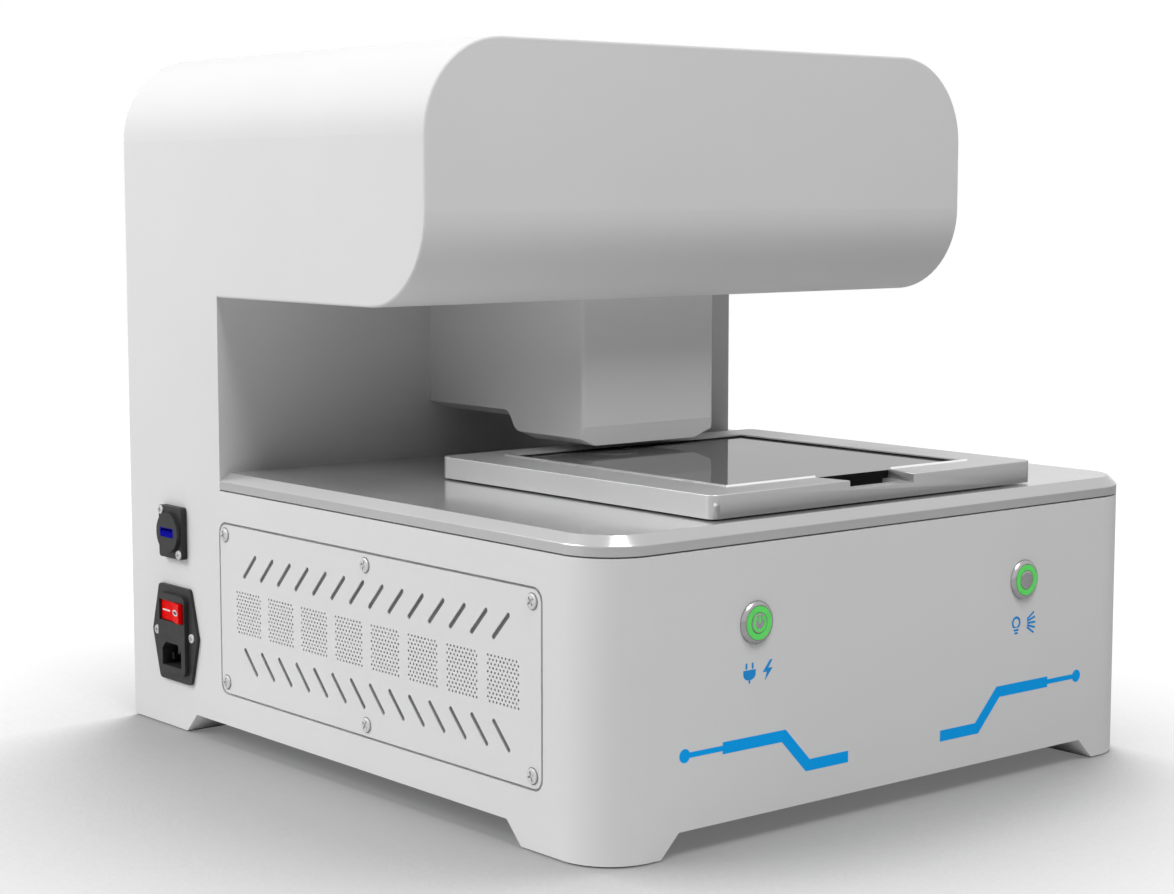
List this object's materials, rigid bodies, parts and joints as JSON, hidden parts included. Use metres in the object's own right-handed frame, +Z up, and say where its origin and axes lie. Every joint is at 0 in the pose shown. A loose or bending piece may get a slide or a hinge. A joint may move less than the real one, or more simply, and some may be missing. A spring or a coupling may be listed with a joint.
{
  "type": "benchtop reflectometer",
  "caption": "Benchtop reflectometer: base with a worktop, overhanging head with a measuring nose, and a motor-driven sample tray that slides under it.",
  "frame": {"origin": "on the floor under the middle of the instrument", "axes": "+Z up, +X to the operator's right, +Y to the back"},
  "size_m": [0.4066, 0.4507, 0.4],
  "materials": {
    "white_paint": "satin powder coat",
    "grey_enamel": "gloss enamel on plate",
    "steel": "satin",
    "zinc_sheet": "matte",
    "alloy": "satin",
    "brass": "satin",
    "black_rubber": "matte",
    "black_plastic": "matte",
    "white_diffuser": "matte",
    "red_plastic": "gloss",
    "blue_plastic": "satin",
    "green_ring": "gloss",
    "dark_glass": "gloss",
    "board_green": "satin"
  },
  "bodies": {
    "housing": {"base_housing": "white_paint", "arm_housing": "white_paint", "rear_cover": "white_paint", "bottom_pan": "zinc_sheet", "foot_pads": "black_rubber", "deck_plate": "grey_enamel", "deck_gasket": "black_rubber", "vent_panel": "white_paint", "nose_cover": "white_paint", "port_ring": "alloy", "sphere_lower": "white_diffuser", "sphere_upper": "white_diffuser", "sphere_hangers": "steel", "optics_plate": "alloy", "lamp_module": "alloy", "detector_tube": "black_plastic", "spectrometer": "alloy", "power_supply": "alloy", "control_board": "board_green", "board_standoffs": "steel", "mains_inlet": "black_plastic", "inlet_pins": "brass", "data_socket": "black_plastic", "data_socket_insert": "blue_plastic", "power_button_bezel": "steel", "power_button_ring": "green_ring", "lamp_button_bezel": "steel", "lamp_button_ring": "green_ring", "button_nuts": "steel", "slide_rails": "steel", "screw_bearing": "alloy", "motor_bracket": "alloy", "stage_motor": "steel"},
    "stage": {"sample_tray": "grey_enamel", "sample_plate": "dark_glass", "tray_posts": "alloy", "stage_carriage": "alloy", "slide_bearings": "steel", "lead_nut": "brass"},
    "lead_screw": {"lead_screw": "steel"},
    "power_button": {"power_button_cap": "steel"},
    "lamp_button": {"lamp_button_cap": "steel"},
    "rocker": {"mains_rocker": "red_plastic"}
  },
  "joints": [
    {"name": "tray_slide", "type": "slide", "parent": "housing", "child": "stage", "axis": [0, 1, 0], "range_m": [0, 0.104]},
    {"name": "lead_screw_spin", "type": "hinge", "parent": "housing", "child": "lead_screw", "pos_m": [0, -0.05, 0.115], "axis": [0, 1, 0], "continuous": true},
    {"name": "power_button_press", "type": "slide", "parent": "housing", "child": "power_button", "axis": [0, 1, 0], "range_m": [0, 0.002], "stiffness_N_per_m": 500},
    {"name": "lamp_button_press", "type": "slide", "parent": "housing", "child": "lamp_button", "axis": [0, 1, 0], "range_m": [0, 0.002], "stiffness_N_per_m": 500},
    {"name": "mains_rocker_turn", "type": "hinge", "parent": "housing", "child": "rocker", "pos_m": [-0.2014, 0.1704, 0.072], "axis": [0, 0, 1], "range_deg": [0, 16]}
  ],
  "couplings": [
    {"joint": "lead_screw_spin", "follows": "tray_slide", "rad_per_m": 628.32}
  ]
}
